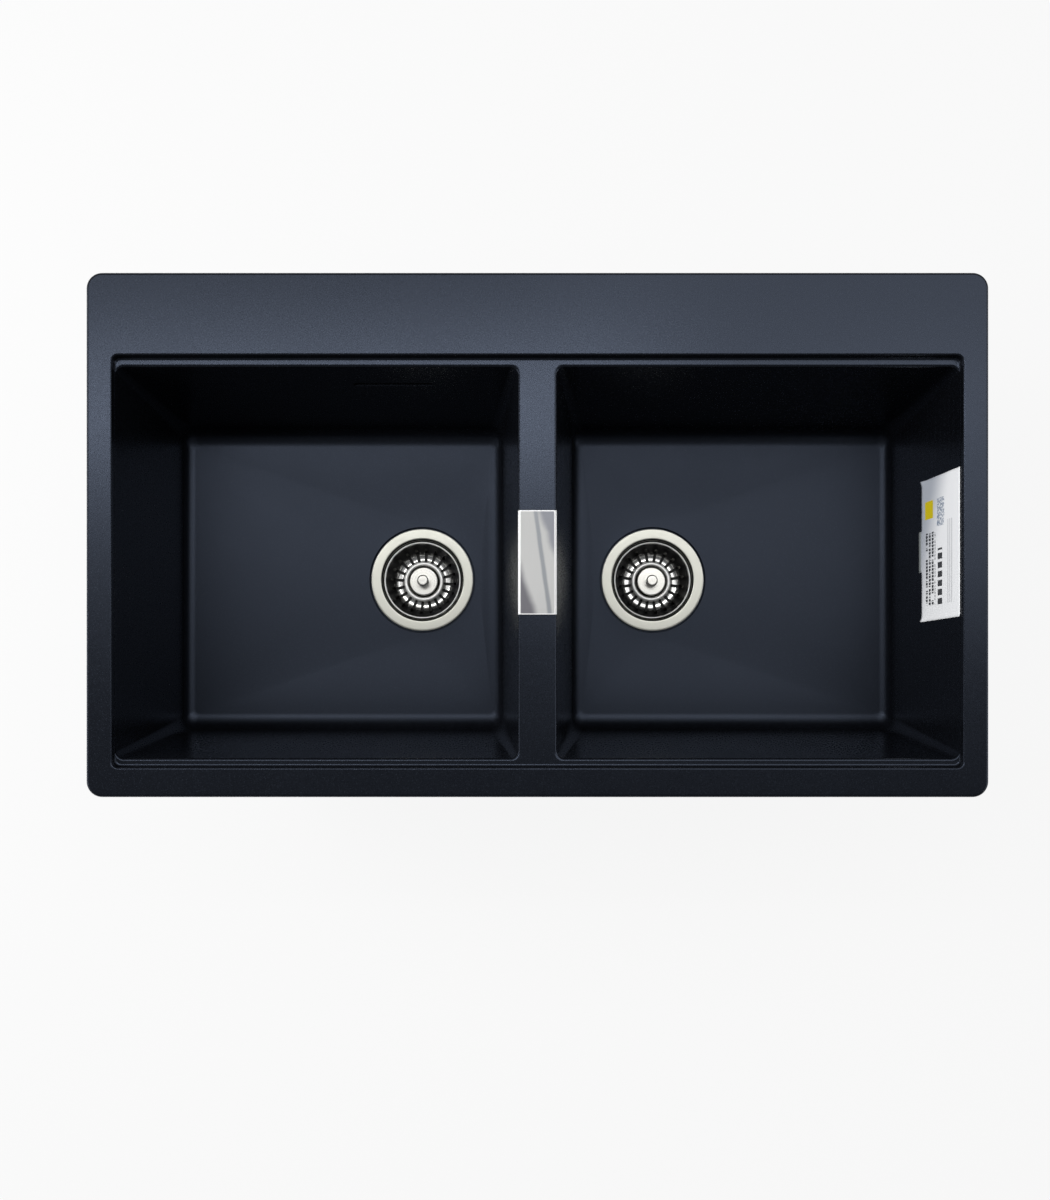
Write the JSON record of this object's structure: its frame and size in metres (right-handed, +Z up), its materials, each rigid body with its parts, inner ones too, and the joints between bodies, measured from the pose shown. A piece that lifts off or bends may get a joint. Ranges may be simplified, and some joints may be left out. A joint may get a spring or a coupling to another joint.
{
  "type": "double bowl kitchen sink",
  "caption": "Inset granite sink with two drafted bowls, a tap ledge, steel basket strainers, an overflow and clips that slide for the worktop's thickness.",
  "frame": {"origin": "centre of the rim's outline on the plane of the worktop, which is the rim's underside", "axes": "+X to the right as the user stands, +Y to the back, where the tap ledge is, +Z up"},
  "size_m": [0.86, 0.5, 0.3],
  "materials": {
    "granite": "satin",
    "satin_steel": "satin",
    "basket_steel": "satin",
    "knob_steel": "satin",
    "polished_steel": "polished",
    "screw_steel": "satin",
    "zinc_steel": "satin",
    "brass": "satin",
    "black_plastic": "matte",
    "grey_plastic": "satin",
    "white_plastic": "satin",
    "black_rubber": "matte",
    "foam": "matte",
    "tape": "matte",
    "paper": "satin"
  },
  "bodies": {
    "casting": {"sink_body": "granite", "rim_seal": "foam", "plate_tape": "tape", "divider_plate": "polished_steel", "paper_label": "paper", "left_strainer_flange": "satin_steel", "left_flange_seal": "black_rubber", "left_waste_body": "black_plastic", "left_waste_outlet": "black_plastic", "left_body_seal": "black_rubber", "left_clamp_screw": "screw_steel", "left_screw_insert": "brass", "right_strainer_flange": "satin_steel", "right_flange_seal": "black_rubber", "right_waste_body": "black_plastic", "right_waste_outlet": "black_plastic", "right_body_seal": "black_rubber", "right_clamp_screw": "screw_steel", "right_screw_insert": "brass", "overflow_housing": "black_plastic", "overflow_seal": "black_rubber", "overflow_screws": "screw_steel", "overflow_hose": "grey_plastic", "hose_clamps": "zinc_steel", "clip_dowels": "white_plastic", "clip_screws": "zinc_steel", "clip_washers": "zinc_steel"},
    "left_basket_body": {"left_basket": "basket_steel", "left_basket_knob": "knob_steel", "left_basket_stem": "screw_steel", "left_stopper": "black_rubber", "left_stem_nut": "screw_steel", "left_stem_ring": "screw_steel"},
    "right_basket_body": {"right_basket": "basket_steel", "right_basket_knob": "knob_steel", "right_basket_stem": "screw_steel", "right_stopper": "black_rubber", "right_stem_nut": "screw_steel", "right_stem_ring": "screw_steel"},
    "back_clip_1_body": {"back_clip_1": "zinc_steel"},
    "back_clip_2_body": {"back_clip_2": "zinc_steel"},
    "back_clip_3_body": {"back_clip_3": "zinc_steel"},
    "back_clip_4_body": {"back_clip_4": "zinc_steel"},
    "front_clip_1_body": {"front_clip_1": "zinc_steel"},
    "front_clip_2_body": {"front_clip_2": "zinc_steel"},
    "front_clip_3_body": {"front_clip_3": "zinc_steel"},
    "front_clip_4_body": {"front_clip_4": "zinc_steel"}
  },
  "joints": [
    {"name": "left_basket_lift", "type": "slide", "parent": "casting", "child": "left_basket_body", "axis": [0, 0, 1], "range_m": [0, 0.25]},
    {"name": "right_basket_lift", "type": "slide", "parent": "casting", "child": "right_basket_body", "axis": [0, 0, 1], "range_m": [0, 0.25]},
    {"name": "back_clip_1_slide", "type": "slide", "parent": "casting", "child": "back_clip_1_body", "axis": [0, 0, 1], "range_m": [-0.0035, 0.01]},
    {"name": "back_clip_2_slide", "type": "slide", "parent": "casting", "child": "back_clip_2_body", "axis": [0, 0, 1], "range_m": [-0.0035, 0.01]},
    {"name": "back_clip_3_slide", "type": "slide", "parent": "casting", "child": "back_clip_3_body", "axis": [0, 0, 1], "range_m": [-0.0035, 0.01]},
    {"name": "back_clip_4_slide", "type": "slide", "parent": "casting", "child": "back_clip_4_body", "axis": [0, 0, 1], "range_m": [-0.0035, 0.01]},
    {"name": "front_clip_1_slide", "type": "slide", "parent": "casting", "child": "front_clip_1_body", "axis": [0, 0, 1], "range_m": [-0.0035, 0.01]},
    {"name": "front_clip_2_slide", "type": "slide", "parent": "casting", "child": "front_clip_2_body", "axis": [0, 0, 1], "range_m": [-0.0035, 0.01]},
    {"name": "front_clip_3_slide", "type": "slide", "parent": "casting", "child": "front_clip_3_body", "axis": [0, 0, 1], "range_m": [-0.0035, 0.01]},
    {"name": "front_clip_4_slide", "type": "slide", "parent": "casting", "child": "front_clip_4_body", "axis": [0, 0, 1], "range_m": [-0.0035, 0.01]}
  ]
}
